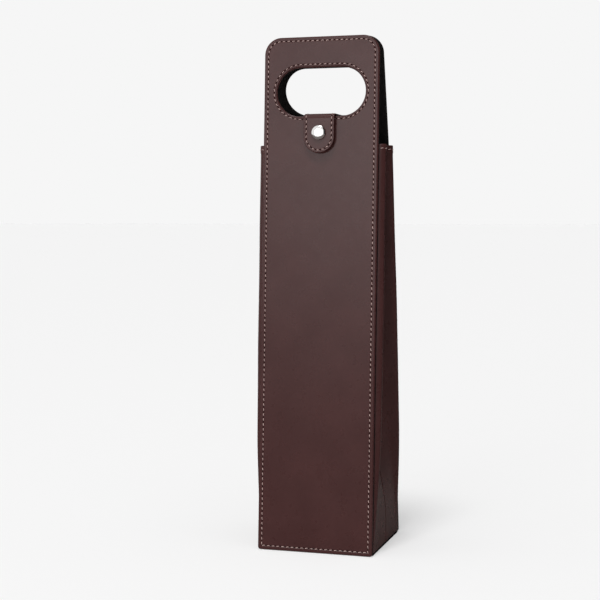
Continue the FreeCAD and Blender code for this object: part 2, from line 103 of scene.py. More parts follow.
# Base
BASE_HEIGHT = 3.6
BASE_CORNER_RADIUS = 0.8
BASE_EDGE_ROUND = 0.4
BASE_SIDE_INSET = 0.2
BASE_COVER_THICKNESS = 1.2
BASE_CLEARANCE = 0.1

# Gussets
GUSSET_TOP_DROP = 75.5
GUSSET_FOOT = 2.0
GUSSET_SEAM_OVERLAP = 0.15
GUSSET_THICKNESS = 1.0
GUSSET_LINING_THICKNESS = 0.6
GUSSET_LAYER_GAP = 0.1
GUSSET_BULGE = 4.0
GUSSET_ROLL_DEPTH = 7.5
GUSSET_FOLD_RADIUS = 1.8
HEM_DEPTH = 6.0
HEM_STEP = 1.0
HEM_THICKNESS = 0.35
CREASE_WIDTH = 1.2
CREASE_DROP = 0.5
SAG_LENGTH = 70.0
SAG_BULGE = 0.5
SAG_CREASE = 1.4
GUSSET_LEVEL_SHARES = (0.0, 0.1, 0.28, 0.6, 1.0)
GUSSET_BULGE_SHARES = (0.0, 0.33, 0.9, 1.0, 1.0)
GUSSET_CREASE_SHARES = (0.0, 0.03, 0.36, 0.8, 1.0)
# Poles of a section as shares of the bulge, the crease's depth, the roll and the run to the crease
GUSSET_POLE_SHARES = (
    (0.0, 0.0, 0.0, 0.0),
    (1.2, 0.0, 0.12, 0.0),
    (1.2, 0.0, 0.78, 0.0),
    (0.0, 0.15, 1.0, 0.0),
    (0.0, 0.6, 1.0, 0.55),
    (0.0, 1.0, 1.0, 1.0),
)
ROLL_LIMIT_SHARE = 0.8
# Where each half has its sewn edge, and where both have the crease, along a section
GUSSET_EDGE_SHARES = {"front": 0.0, "back": 1.0}
CREASE_SHARE = 0.5

# Strap and snap
STRAP_WIDTH = 22.0
STRAP_THICKNESS = 1.3
STRAP_STAND = 2.6
STRAP_FLAP_LENGTH = 26.0
STRAP_BEND_RADIUS = 2.0
STRAP_FOLD_RADIUS = 3.0
STRAP_RIM_CLEARANCE = 0.1
STRAP_EDGE_ROUND = 0.5
STRAP_ROOT_CORNER = 1.0
SNAP_DROP = 12.0
SNAP_CAP_RADIUS = 5.2
SNAP_CAP_CROWN = 2.2
SNAP_CAP_POWER = 3.4
SNAP_SHANK_RADIUS = 1.5
SNAP_SHANK_LENGTH = 2.6
# The solids that each layer of the strap's two halves takes the place of
STRAP_NODES = {
    ("rear", "facing"): ("strap_root", "strap_bridge_facing"),
    ("rear", "lining"): ("strap_root", "strap_bridge_lining"),
    ("fore", "facing"): ("strap_flap_facing", "strap_bridge_facing"),
    ("fore", "lining"): ("strap_flap_lining", "strap_bridge_lining"),
    ("fore", "thread"): ("strap_flap_thread",),
}

# How finely the meshes are drawn
EDGE_SPACING = 0.7
LINING_SPACING = 1.4
STRAP_SPACING = 0.5
PANEL_GRID = (4.0, 4.0)
STRAP_GRID = (1.6, 0.5)
BASE_GRID = (5.0, 5.0)
WELD_DISTANCE = 0.002
SHARP_ANGLE_DEG = 60.0
GROOVE_STEPS = 6
ROUND_STEPS = 5
STITCH_RINGS = 7
STITCH_SIDES = 8
GUSSET_COLUMNS = 64
CREASE_CROWDING = 1.4
GUSSET_ROW_HEIGHT = 4.0
HEM_ROW_HEIGHT = 0.5
SNAP_STEPS = 20
SNAP_SIDES = 64

# Materials, some with a slot. Noise has its size in millimetres, its detail and sometimes a
# stretch, cells have a size, and threads a size and a direction. Grains give colours at shares of
# their value, roughness between two limits, and bumps with a strength and a depth in millimetres.
# Levels go to the shader as they are.
FINISHES = {
    "leather": {
        "slot": "leatherette",
        "grains": {
            "clouds": ("noise", 30.0, 5.0),
            "gloss": ("noise", 6.0, 4.0),
            "dents": ("noise", 9.0, 2.0),
            "pebbles": ("cells", 0.8),
            "pores": ("noise", 0.35, 3.0),
        },
        "colour_shares": ("clouds", (0.3, (61, 34, 33)), (0.5, (64, 37, 36)), (0.72, (68, 40, 39))),
        "roughness": ("gloss", 0.25, 0.31),
        "bumps": (("dents", 0.04, 0.2), ("pebbles", 0.06, 0.05), ("pores", 0.06, 0.03)),
        "levels": {"Specular IOR Level": 0.2},
    },
    # Near-black leather: painted shade in the needle holes, and partly painted shade on the base's
    # edge
    "dark leather and painted shade": {
        "slot": "leatherette",
        "grains": {"grit": ("noise", 1.0, 4.0)},
        "colour_shares": ("grit", (0.3, (10, 6, 6)), (0.7, (17, 11, 10))),
        "roughness": ("grit", 0.6, 0.8),
        "bumps": (("grit", 0.2, 0.05),),
        "levels": {"Specular IOR Level": 0.05},
    },
    "lining cloth": {
        "slot": "lining",
        "grains": {
            "clouds": ("noise", 2.0, 5.0),
            "gloss": ("noise", 0.7, 3.0),
            "warp": ("threads", 0.6, "X"),
            "weft": ("threads", 0.6, "Z"),
            "cross": ("threads", 0.6, "Y"),
        },
        "colour_shares": ("clouds", (0.35, (13, 11, 11)), (0.7, (25, 22, 21))),
        "roughness": ("gloss", 0.75, 0.95),
        "bumps": (("warp", 0.4, 0.06), ("weft", 0.4, 0.06), ("cross", 0.2, 0.06)),
        "levels": {"Specular IOR Level": 0.2},
    },
    "sewing thread": {
        "slot": "thread",
        "grains": {"fuzz": ("noise", 0.5, 4.0), "twist": ("threads", 0.45, "DIAGONAL")},
        "colour_shares": ("fuzz", (0.3, (160, 130, 126)), (0.7, (202, 178, 172))),
        "roughness": ("fuzz", 0.55, 0.8),
        "bumps": (("twist", 0.5, 0.08), ("fuzz", 0.3, 0.03)),
    },
    "pressed board": {
        "grains": {"fibres": ("noise", 1.5, 8.0, (1, 1, 0.3))},
        "colour_shares": ("fibres", (0.3, (104, 94, 82)), (0.7, (136, 126, 112))),
        "roughness": ("fibres", 0.8, 0.95),
        "bumps": (("fibres", 0.4, 0.1),),
    },
    "polished metal": {
        "slot": "polished_metal",
        "grains": {"scratches": ("noise", 0.4, 5.0, (0.1, 1, 1))},
        "colour_shares": ("scratches", (0.2, (224, 222, 220)), (0.8, (244, 243, 242))),
        "roughness": ("scratches", 0.05, 0.16),
        "bumps": (("scratches", 0.03, 0.02),),
        "levels": {"Metallic": 1.0},
    },
    "brushed metal": {
        "grains": {"hairlines": ("noise", 0.5, 6.0, (0.05, 1, 1))},
        "colour_shares": ("hairlines", (0.2, (150, 148, 145)), (0.8, (190, 188, 184))),
        "roughness": ("hairlines", 0.28, 0.5),
        "bumps": (("hairlines", 0.08, 0.03),),
        "levels": {"Metallic": 1.0},
    },
}
# Solids that show as they are
NODE_FINISHES = {
    "pressed board": ("front_board", "back_board", "base_board"),
    "brushed metal": ("snap_socket", "snap_stud", "snap_post"),
}
MATT_ROUGHNESS = 1.0
SCREEN_WHITE = 255

# Camera and light
CAMERA_PLACE = (268.07, -959.63, 234.44)
CAMERA_TURN_DEG = 16.879
CAMERA_DIP_DEG = 3.42
CAMERA_LENS_MM = 83.12
CAMERA_SENSOR_MM = 36.0
FLOOR_SIZE = 90000.0
BACKGROUND_TONE = (246, 246, 246)
FLOOR_TONE = (241, 241, 241)
FLOOR_GLOW = 0.4
# Soft light, as levels at shares of the way towards its brightest side
WORLD_TURN_DEG = -8.0
WORLD_RISE_DEG = 66.0
WORLD_LEVEL_SHARES = ((0.0, 0.06), (0.5, 0.3), (1.0, 0.9))
KEY_TURN_DEG = 0.0
KEY_RISE_DEG = 66.0
KEY_STRENGTH = 1.8
KEY_ANGLE_DEG = 16.0
# Grey cards on the floor, on the right and behind, which only reflections show
FLOOR_CARD_TONE = (112, 106, 104)
SIDE_CARD_TONE = (70, 70, 70)
CARD_REACH = 3000.0
CARD_RIGHT = 1200.0
CARD_LEFT = -300.0
CARD_BACK = 1200.0
CARD_RISE = 0.5
# A large soft box in front, whose reflection gives the upper half of the panel its sheen
BOX_TURN_DEG = -10.0
BOX_DISTANCE = 2500.0
BOX_RISE = 708.0
BOX_WIDTH = 1070.0
BOX_HEIGHT = 700.0
BOX_POWER = 10.4

# Sizes that follow
LEAN_TRAVEL = CARRIER_DEPTH - TOP_DEPTH
FRONT_LEAN = math.asin(FRONT_LEAN_SHARE * LEAN_TRAVEL / PANEL_LENGTH)
BACK_TRAVEL = (1 - FRONT_LEAN_SHARE) * LEAN_TRAVEL
GUSSET_TOP = PANEL_LENGTH - GUSSET_TOP_DROP
BACK_BEND = math.radians(BACK_BEND_DEG)
BACK_LENGTH = PANEL_LENGTH + BACK_EXTRA_LENGTH
BACK_LOWER_LENGTH = GUSSET_TOP + BACK_BEND_RADIUS * math.tan(BACK_BEND / 2)
BACK_UPPER_LENGTH = BACK_LENGTH - BACK_LOWER_LENGTH
# From the back panel's foot to its top, along and across its lower part
BACK_REACH = Vector((
    BACK_LOWER_LENGTH + BACK_UPPER_LENGTH * math.cos(BACK_BEND),
    BACK_UPPER_LENGTH * math.sin(BACK_BEND),
))
BACK_LEAN = math.asin(BACK_TRAVEL / BACK_REACH.length) - math.atan2(BACK_REACH.y, BACK_REACH.x)
BEND_END = GUSSET_TOP + BACK_BEND_RADIUS * BACK_BEND
FRONT_LIFT = PANEL_THICKNESS * math.sin(FRONT_LEAN)
BACK_LIFT = PANEL_THICKNESS * math.sin(BACK_LEAN)
HANDLE_LENGTH = CARRIER_WIDTH - 2 * HANDLE_SIDE_MARGIN
HANDLE_RIM = PANEL_LENGTH - HANDLE_TOP_MARGIN - HANDLE_HEIGHT
STRAP_FOLD_HEIGHT = HANDLE_RIM + STRAP_RIM_CLEARANCE + STRAP_THICKNESS / 2
STRAP_FOLD_DEPTH = -STRAP_STAND - STRAP_THICKNESS / 2
STRAP_ROOT_DEPTH = PANEL_THICKNESS + STRAP_THICKNESS / 2
SNAP_HEIGHT = HANDLE_RIM - SNAP_DROP
BASE_STEP = GUSSET_THICKNESS + GUSSET_LAYER_GAP - BASE_SIDE_INSET

# A panel's own frame has x across, y inwards from its outer face and z up along it.
FRONT_PLACE = Matrix.Translation((0, -CARRIER_DEPTH / 2, FRONT_LIFT)) @ Matrix.Rotation(
    -FRONT_LEAN, 4, "X"
)
BACK_PLACE = (
    Matrix.Translation((0, CARRIER_DEPTH / 2, BACK_LIFT))
    @ Matrix.Rotation(BACK_LEAN, 4, "X")
    @ Matrix.Rotation(math.pi, 4, "Z")
)


# Meshes


def add_object(name, data):
    made = bpy.data.objects.new(name, data)
    bpy.context.scene.collection.objects.link(made)
    return made


def new_piece(name, points, faces, finish):
    """A smooth mesh of the points that its faces use, with its material."""
    mesh = bpy.data.meshes.new(name)
    mesh.from_pydata([point * METRES for point in points], [], faces)
    work = bmesh.new()
    work.from_mesh(mesh)
    loose = [corner for corner in work.verts if not corner.link_faces]
    bmesh.ops.delete(work, geom=loose, context="VERTS")
    bmesh.ops.remove_doubles(work, verts=work.verts, dist=WELD_DISTANCE * METRES)
    bmesh.ops.recalc_face_normals(work, faces=work.faces)
    work.to_mesh(mesh)
    work.free()
    mesh.shade_smooth()
    mesh.set_sharp_from_angle(angle=math.radians(SHARP_ANGLE_DEG))
    mesh.materials.append(MATERIALS[finish])
    return add_object(name, mesh)


def rounded_outline(corners, spacing):
    """Spots along a closed outline, each with its inward direction, corner radius and mitre."""
    samples = []
    for index, (x, z, radius) in enumerate(corners):
        here = Vector((x, z))
        before = Vector(corners[index - 1][:2])
        after = Vector(corners[(index + 1) % len(corners)][:2])
        arrive = (here - before).normalized()
        turn = arrive.angle(after - here)
        inward = Vector((-arrive.y, arrive.x))
        mitre = inward + arrive * -math.tan(turn / 2)
        start = here - arrive * (radius * math.tan(turn / 2))
        centre = start + inward * radius
        if samples:
            add_line(samples, start, spacing)
        steps = max(ROUND_STEPS, round(turn * radius / spacing))
        for step in range(steps + 1):
            direction = Matrix.Rotation(turn * step / steps, 2) @ inward
            spot = centre - direction * radius
            if not samples or (spot - samples[-1][0]).length > WELD_DISTANCE:
                samples.append((spot, direction, radius, mitre))
    add_line(samples, samples[0][0], spacing)
    return samples


def add_line(samples, end, spacing):
    """Spots between the last one and the end of a straight run, without the end itself."""
    start, inward = samples[-1][:2]
    steps = max(1, round((end - start).length / spacing))
    for step in range(1, steps):
        samples.append((start.lerp(end, step / steps), inward, math.inf, inward))


def rectangle(left, right, low, high):
    return [(left, low), (right, low), (right, high), (left, high)]


def box_corners(half, low, high, low_radius, high_radius):
    """The four corners of a plate, each with its radius."""
    radii = (low_radius, low_radius, high_radius, high_radius)
    return [(*corner, radius) for corner, radius in zip(rectangle(-half, half, low, high), radii)]


def stitch_count(length):
    return max(1, round(length / STITCH_PITCH))


class Edge:
    """One closed edge of a plate, which lies inside it, or outside it for a hole."""

    def __init__(self, corners, spacing, rows, seam_inset=None, hole=False):
        self.samples = rounded_outline(corners, spacing)
        self.side = -1 if hole else 1
        self.rows = rows
        self.seam_inset = seam_inset

    def ring(self, inset):
        """The outline at an inset, with sharp corners where that is more than their radius."""
        spots = []
        for spot, inward, radius, mitre in self.samples:
            rounded = min(inset, radius) if self.side > 0 else inset
            spots.append(spot + inward * (self.side * rounded) + mitre * (inset - rounded))
        return spots

    def seam(self):
        return self.ring(self.seam_inset)

    def hole_shares(self):
        """How deep in a stitch hole each spot of the seam lies, from 0 to 1."""
        if self.seam_inset is None:
            return [0.0] * len(self.samples)
        seam = self.seam()
        steps = [(b - a).length for a, b in zip(seam, seam[1:] + seam[:1])]
        *lengths, whole = accumulate(steps, initial=0.0)
        pitch = whole / stitch_count(whole)
        shares = []
        for length in lengths:
            away = abs(length / pitch - round(length / pitch)) * pitch
            shares.append(max(0.0, 1 - away / STITCH_HOLE_RADIUS))
        return shares


def arc_shares(steps=ROUND_STEPS):
    """Sine and cosine along a quarter turn."""
    angles = [math.pi / 2 * step / steps for step in range(steps + 1)]
    return [(math.sin(angle), math.cos(angle)) for angle in angles]


def face_rows(edge_round, seam_inset=None):
    """Rows of inset, depth and stitch hole share, from the flat face over the edge."""
    rows = []
    if seam_inset is not None:
        groove_half = GROOVE_WIDTH / 2
        rows.append((seam_inset + groove_half + FLAT_MARGIN, 0.0, 0.0))
        for step in range(GROOVE_STEPS + 1):
            share = step / GROOVE_STEPS
            dip = math.sin(math.pi * share) ** 2
            rows.append((seam_inset + groove_half - GROOVE_WIDTH * share, GROOVE_DEPTH * dip, dip))
        rows.append((seam_inset - groove_half - FLAT_MARGIN, 0.0, 0.0))
    rows.append((edge_round + FLAT_MARGIN, 0.0, 0.0))
    for sine, cosine in arc_shares():
        rows.append((edge_round * (1 - sine), edge_round * (1 - cosine), 0.0))
    return rows


def back_rows(edge_round, thickness):
    """Rows from the edge's wall round to the back."""
    rows = []
    for sine, cosine in arc_shares():
        rows.append((edge_round * (1 - cosine), thickness - edge_round * (1 - sine), 0.0))
    return rows


def add_ring_faces(faces, first, rings, count):
    """Faces between rings of points that follow each other."""
    for ring in range(rings - 1):
        low = first + ring * count
        high = low + count
        for index in range(count):
            following = (index + 1) % count
            faces.append((low + index, low + following, high + following, high + index))


def add_rings(points, faces, edge):
    """Rows of an edge as rings of points, joined by faces."""
    first = len(points)
    count = len(edge.samples)
    holes = edge.hole_shares()
    for inset, depth, hole_share in edge.rows:
        for spot, hole in zip(edge.ring(inset), holes):
            sunk = depth + STITCH_HOLE_DEPTH * hole * hole_share
            points.append(Vector((spot.x, sunk, spot.y)))
    add_ring_faces(faces, first, len(edge.rows), count)


def is_inside(spot, borders):
    """Whether a spot lies in an odd number of closed borders."""
    crossings = 0
    for border in borders:
        following = np.roll(border, -1, axis=0)
        spans = (border[:, 1] > spot[1]) != (following[:, 1] > spot[1])
        rise = np.where(spans, following[:, 1] - border[:, 1], 1)
        slope = (following[:, 0] - border[:, 0]) / rise
        reach = border[:, 0] + (spot[1] - border[:, 1]) * slope
        crossings += np.count_nonzero(spans & (spot[0] < reach))
    return crossings % 2 == 1


def grid_spots(borders, grid):
    """Spots of an even grid that lie well inside some borders."""
    low = borders[0].min(axis=0)
    high = borders[0].max(axis=0)
    rim = np.concatenate(borders)
    clear = min(grid) / 2
    spots = []
    for x in np.arange(low[0] + clear, high[0], grid[0]):
        for z in np.arange(low[1] + clear, high[1], grid[1]):
            away = np.hypot(rim[:, 0] - x, rim[:, 1] - z).min()
            if away > clear and is_inside((x, z), borders):
                spots.append((float(x), float(z)))
    return spots


def add_fill(points, faces, loops, depth, grid):
    """A flat face of small triangles inside the first loop and outside the others."""
    borders = [np.array([tuple(spot) for spot in loop]) for loop in loops]
    spots = []
    links = []
    for border in borders:
        first = len(spots)
        count = len(border)
        spots.extend(Vector(spot) for spot in border)
        links.extend((first + index, first + (index + 1) % count) for index in range(count))
    spots.extend(Vector(spot) for spot in grid_spots(borders, grid))
    filled = delaunay_2d_cdt(spots, links, [], 1, WELD_DISTANCE)
    first = len(points)
    points.extend(Vector((spot.x, depth, spot.y)) for spot in filled[0])
    for face in filled[2]:
        centre = sum((filled[0][corner] for corner in face), Vector((0, 0))) / len(face)
        if is_inside(centre, borders):
            faces.append(tuple(first + corner for corner in face))


def plate(edges, fill_row, grid):
    """Points and faces of a sheet: rows round each edge, and a fill inside one of the rows."""
    points = []
    faces = []
    for edge in edges:
        add_rings(points, faces, edge)
    loops = [edge.ring(edge.rows[fill_row][0]) for edge in edges]
    add_fill(points, faces, loops, edges[0].rows[fill_row][1], grid)
    return points, faces


def walk(path, closed, phase_share=0.5):
    """A spot in each stitch of a path, by default in its middle, and its direction."""
    loop = path + path[:1] if closed else path
    spots = loop[:1]
    for spot in loop[1:]:
        if (spot - spots[-1]).length > WELD_DISTANCE:
            spots.append(spot)
    steps = []
    whole = sum((b - a).length for a, b in zip(spots, spots[1:]))
    count = stitch_count(whole)
    done = 0.0
    for a, b in zip(spots, spots[1:]):
        length = (b - a).length
        while len(steps) < count and (len(steps) + phase_share) * whole / count <= done + length:
            along = ((len(steps) + phase_share) * whole / count - done) / length
            steps.append((a.lerp(b, along), (b - a).normalized()))
        done += length
    return steps


def add_tube(points, faces, rings, sides):
    """A closed tube through rings, each with its centre and two radii."""
    first = len(points)
    for centre, side, out in rings:
        for step in range(sides):
            angle = 2 * math.pi * step / sides
            points.append(centre + side * math.cos(angle) + out * math.sin(angle))
    add_ring_faces(faces, first, len(rings), sides)
    for start in (first, len(points) - sides):
        faces.append(tuple(range(start, start + sides)))


def add_stitch(points, faces, centre, along, side, out):
    """One loop of thread that rises from its two holes, a little slanted."""
    rings = []
    for ring in range(STITCH_RINGS):
        at = 2 * ring / (STITCH_RINGS - 1) - 1
        middle = centre + along * (at * STITCH_LENGTH / 2) + side * (at * STITCH_SLANT)
        middle = middle + out * (STITCH_RISE * (1 - 2 * at * at))
        radius = STITCH_RADIUS * math.sqrt(1 - STITCH_TAPER_SHARE * at ** STITCH_TAPER_POWER)
        rings.append((middle, side * radius, out * radius))
    add_tube(points, faces, rings, STITCH_SIDES)


def flat_stitches(path, depth=GROOVE_DEPTH):
    """Stitches along a closed path on a flat plate, standing out towards -y."""
    points = []
    faces = []
    for spot, direction in walk(path, True):
        along = Vector((direction.x, 0, direction.y))
        side = Vector((-direction.y, 0, direction.x))
        add_stitch(points, faces, Vector((spot.x, depth, spot.y)), along, side, Vector((0, -1, 0)))
    return points, faces


def needle_holes(path):
    """Dark plugs of painted shade in the holes between the stitches of a closed path on a flat plate.
    """
    points = []
    faces = []
    depth = GROOVE_DEPTH + NEEDLE_HOLE_DEPTH
    across = Vector((NEEDLE_HOLE_RADIUS, 0, 0))
    up = Vector((0, 0, NEEDLE_HOLE_RADIUS))
    for spot, _ in walk(path, True, 0):
        ends = [Vector((spot.x, end, spot.y)) for end in (depth, depth + NEEDLE_HOLE_LENGTH)]
        add_tube(points, faces, [(end, across, up) for end in ends], STITCH_SIDES)
    return points, faces


# Panels


def front_point(point):
    return FRONT_PLACE @ point


def back_point(point):
    """From the back panel's flat coordinates, round its bend."""
    angle = min(max(point.z - GUSSET_TOP, 0) / BACK_BEND_RADIUS, BACK_BEND)
    radius = BACK_BEND_RADIUS - point.y
    past = point.z - GUSSET_TOP - BACK_BEND_RADIUS * angle
    bent = Vector((
        point.x,
        BACK_BEND_RADIUS - radius * math.cos(angle) + past * math.sin(angle),
        GUSSET_TOP + radius * math.sin(angle) + past * math.cos(angle),
    ))
    return BACK_PLACE @ bent


def panel_corners(length):
    rim = length - HANDLE_TOP_MARGIN
    radius = HANDLE_HEIGHT / 2
    outer = box_corners(CARRIER_WIDTH / 2, 0, length, BOTTOM_CORNER_RADIUS, TOP_CORNER_RADIUS)
    handle = box_corners(HANDLE_LENGTH / 2, rim - HANDLE_HEIGHT, rim, radius, radius)
    return outer, handle


def panel_edges(length):
    """The panel's outer edge and its handle hole, with the facing turned in over the back."""
    back = back_rows(PANEL_BACK_ROUND, PANEL_THICKNESS)
    back.append((TURN_IN_WIDTH, PANEL_THICKNESS, 0.0))
    back.append((TURN_IN_WIDTH, PANEL_THICKNESS - TURN_IN_TUCK, 0.0))
    outer_rows = face_rows(PANEL_EDGE_ROUND, EDGE_SEAM_INSET) + back
    handle_rows = face_rows(PANEL_EDGE_ROUND, HANDLE_SEAM_INSET) + back
    corners, hole_corners = panel_corners(length)
    outer = Edge(corners, EDGE_SPACING, outer_rows, EDGE_SEAM_INSET)
    handle = Edge(hole_corners, EDGE_SPACING, handle_rows, HANDLE_SEAM_INSET, hole=True)
    return outer, handle


def lining_edges(length):
    """The black lining inside a panel, drawn over the inner half of its edges, where it is painted
    shade on the edge walls.
    """
    rows = []
    for inset, depth, share in face_rows(PANEL_BACK_ROUND):
        rows.append((inset - LINING_STAND, PANEL_THICKNESS + LINING_STAND - depth, share))
    rows.append((-LINING_STAND, PANEL_THICKNESS - LINING_SHADE_WRAP, 0.0))
    rows.append((LINING_STAND, PANEL_THICKNESS - LINING_SHADE_WRAP - LINING_STAND, 0.0))
    corners, hole_corners = panel_corners(length)
    return Edge(corners, LINING_SPACING, rows), Edge(hole_corners, EDGE_SPACING, rows, hole=True)


def waved(points, seed):
    """A sheet drawn over a board is never quite flat."""
    result = []
    for point in points:
        spot = Vector((point.x, point.z, 0)) / PANEL_WAVE_LENGTH + Vector((0, 0, seed))
        result.append(point + Vector((0, PANEL_WAVE_HEIGHT * noise.noise(spot), 0)))
    return result


def make_panel(name, length, place_point):
    """A panel's facing, lining and stitches, with dark plugs of painted shade in the needle holes
    between them.
    """
    outer, handle = panel_edges(length)
    layers = {
        "facing": (plate((outer, handle), 0, PANEL_GRID), "leather"),
        "lining": (plate(lining_edges(length), 0, PANEL_GRID), "lining cloth"),
        "edge_thread": (flat_stitches(outer.seam()), "sewing thread"),
        "handle_thread": (flat_stitches(handle.seam()), "sewing thread"),
        "edge_holes": (needle_holes(outer.seam()), "dark leather and painted shade"),
        "handle_holes": (needle_holes(handle.seam()), "dark leather and painted shade"),
    }
    for part, ((points, faces), finish) in layers.items():
        shaped = [place_point(point) for point in waved(points, length)]
        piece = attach(new_piece(f"{name}_panel_{part}", shaped, faces, finish), name + "_panel")
        if not part.endswith("_holes"):
            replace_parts(piece, f"{name}_{part}")


# Base


def inner_depths(height):
    """Where the linings of the front and the back panel are at a height above the floor."""
    front = PANEL_THICKNESS / math.cos(FRONT_LEAN) + (height - FRONT_LIFT) * math.tan(FRONT_LEAN)
    back = PANEL_THICKNESS / math.cos(BACK_LEAN) + (height - BACK_LIFT) * math.tan(BACK_LEAN)
    return front - CARRIER_DEPTH / 2, CARRIER_DEPTH / 2 - back


def base_corners():
    """The plan of the base, between the two panels and under the feet of the gussets."""
    half = CARRIER_WIDTH / 2 - BASE_SIDE_INSET
    front, back = inner_depths(GUSSET_FOOT)
    front += BASE_CLEARANCE
    back -= BASE_CLEARANCE
    return box_corners(half, front, back, BASE_CORNER_RADIUS, BASE_CORNER_RADIUS)


def base_rows():
    """Rows of the base's skin, whose edge shows under the gussets and steps in behind them."""
    edge_top = GUSSET_FOOT - GUSSET_LAYER_GAP
    rows = face_rows(BASE_EDGE_ROUND)
    rows.append((0.0, edge_top, 0.0))
    rows.append((BASE_STEP, edge_top, 0.0))
    for inset, depth, share in back_rows(BASE_EDGE_ROUND, BASE_HEIGHT):
        rows.append((BASE_STEP + inset, depth, share))
    rows.append((BASE_STEP + BASE_COVER_THICKNESS, BASE_HEIGHT - TURN_IN_TUCK, 0.0))
    return rows


def make_base():
    """The base's skin and its lining, two plates that lie flat."""
    lining_rows = []
    for inset, depth, share in face_rows(LINING_ROUND):
        lining_rows.append((BASE_STEP + BASE_COVER_THICKNESS / 2 + inset, BASE_HEIGHT - depth, share))
    layers = {
        # The base's skin is near-black, partly painted shade for the gap under the gussets' feet
        "base_skin": (base_rows(), "dark leather and painted shade", "base_cover"),
        "base_inside": (lining_rows, "lining cloth", "base_lining"),
    }
    for name, (rows, finish, node) in layers.items():
        points, faces = plate((Edge(base_corners(), EDGE_SPACING, rows),), 0, BASE_GRID)
        piece = new_piece(name, [point.xzy for point in points], faces, finish)
        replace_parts(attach(piece, "base"), node)


# Gussets


def eased(part):
    """A share from 0 to 1 that starts and ends slowly."""
    return part * part * (3 - 2 * part)


def smooth_share(level, shares):
    """A value between the rows of a table of shares of the gusset's height, without kinks."""
    levels = GUSSET_LEVEL_SHARES
    row = max(index for index in range(len(levels) - 1) if levels[index] <= level)
    low, high = levels[row], levels[row + 1]
    part = (level - low) / (high - low)
    slopes = []
    for index in (row, row + 1):
        before = max(index - 1, 0)
        after = min(index + 1, len(levels) - 1)
        slopes.append((shares[after] - shares[before]) / (levels[after] - levels[before]))
    rise = eased(part)
    leave = part * (1 - part) ** 2 * slopes[0]
    arrive = part * part * (part - 1) * slopes[1]
    return shares[row] + rise * (shares[row + 1] - shares[row]) + (leave + arrive) * (high - low)


def gusset_half_depth(height):
    """Half of the room between the two panels, and a little more, which the seams take in."""
    front, back = inner_depths(height)
    return (back - front) / 2 + GUSSET_SEAM_OVERLAP


def crease_depth():
    """How far in the fold lies at the top, from the width of the sheet at the base."""
    sheet = gusset_half_depth(BASE_HEIGHT)
    roll_girth = 2 * math.hypot(GUSSET_ROLL_DEPTH / 2, GUSSET_BULGE)
    run_width = gusset_half_depth(GUSSET_TOP) - GUSSET_ROLL_DEPTH
    return math.sqrt((sheet - roll_girth) ** 2 - run_width ** 2)


def gusset_poles(height, seed):
    """The section of the right gusset at a height, with the small sags of a soft sheet."""
    level = max(0.0, height - BASE_HEIGHT) / (GUSSET_TOP - BASE_HEIGHT)
    edge = CARRIER_WIDTH / 2 - GUSSET_THICKNESS / 2
    half = gusset_half_depth(height)
    middle = sum(inner_depths(height)) / 2
    loose = math.sin(math.pi * level)
    sag = noise.noise(Vector((height / SAG_LENGTH, seed, 0))) * loose
    drift = noise.noise(Vector((height / SAG_LENGTH, 0, seed))) * loose
    bulge = GUSSET_BULGE * smooth_share(level, GUSSET_BULGE_SHARES) + SAG_BULGE * sag
    crease = crease_depth() * smooth_share(level, GUSSET_CREASE_SHARES) + SAG_CREASE * drift
    roll = min(GUSSET_ROLL_DEPTH, half * ROLL_LIMIT_SHARE)
    run = half - roll - GUSSET_FOLD_RADIUS
    front_poles = []
    back_poles = []
    for bulge_share, crease_share, roll_share, run_share in GUSSET_POLE_SHARES:
        out = edge + bulge * bulge_share - crease * crease_share
        inward = half - roll * roll_share - run * run_share
        front_poles.append(Vector((out, middle - inward, height)))
        back_poles.append(Vector((out, middle + inward, height)))
    return front_poles + back_poles[::-1]


def offset_poles(poles, offset):
    """Poles moved outwards from the bag, square to the line through their neighbours."""
    result = []
    for index, pole in enumerate(poles):
        along = poles[min(index + 1, len(poles) - 1)] - poles[max(index - 1, 0)]
        outward = Vector((along.y, -along.x, 0)).normalized()
        if index in (0, len(poles) - 1):
            outward = Vector((1, 0, 0))
        result.append(pole + outward * offset)
    return result


def spline_point(poles, share):
    """A point on the clamped cubic spline of some poles."""
    degree = 3
    spans = len(poles) - degree
    at = share * spans
    span = min(int(at), spans - 1)

    def knot(index):
        return min(max(index - degree, 0), spans)

    points = [poles[span + index].copy() for index in range(degree + 1)]
    for level in range(1, degree + 1):
        for index in range(degree, level - 1, -1):
            low = knot(span + index)
            high = knot(span + index + degree + 1 - level)
            points[index] = points[index - 1].lerp(points[index], (at - low) / (high - low))
    return points[degree]


def hem_rise(height):
    """The extra thickness of the hem that is turned over at the top."""
    into = (height - (GUSSET_TOP - HEM_DEPTH)) / HEM_STEP
    part = min(max(into, 0.0), 1.0)
    groove = max(0.0, 1 - abs(height - (GUSSET_TOP - HEM_SEAM_DROP)) / GROOVE_WIDTH * 2)
    return HEM_THICKNESS * eased(part) - GROOVE_DEPTH * groove * groove


def sheet_heights(foot):
    """Levels up the gusset from its foot, closer together in the hem."""
    hem_bottom = GUSSET_TOP - HEM_DEPTH
    low_rows = round((hem_bottom - BASE_HEIGHT) / GUSSET_ROW_HEIGHT)
    hem_rows = round(HEM_DEPTH / HEM_ROW_HEIGHT)
    heights = [BASE_HEIGHT + (hem_bottom - BASE_HEIGHT) * row / low_rows for row in range(low_rows)]
    if foot < BASE_HEIGHT:
        heights.insert(0, foot)
    return heights + [hem_bottom + HEM_DEPTH * row / hem_rows for row in range(hem_rows)]


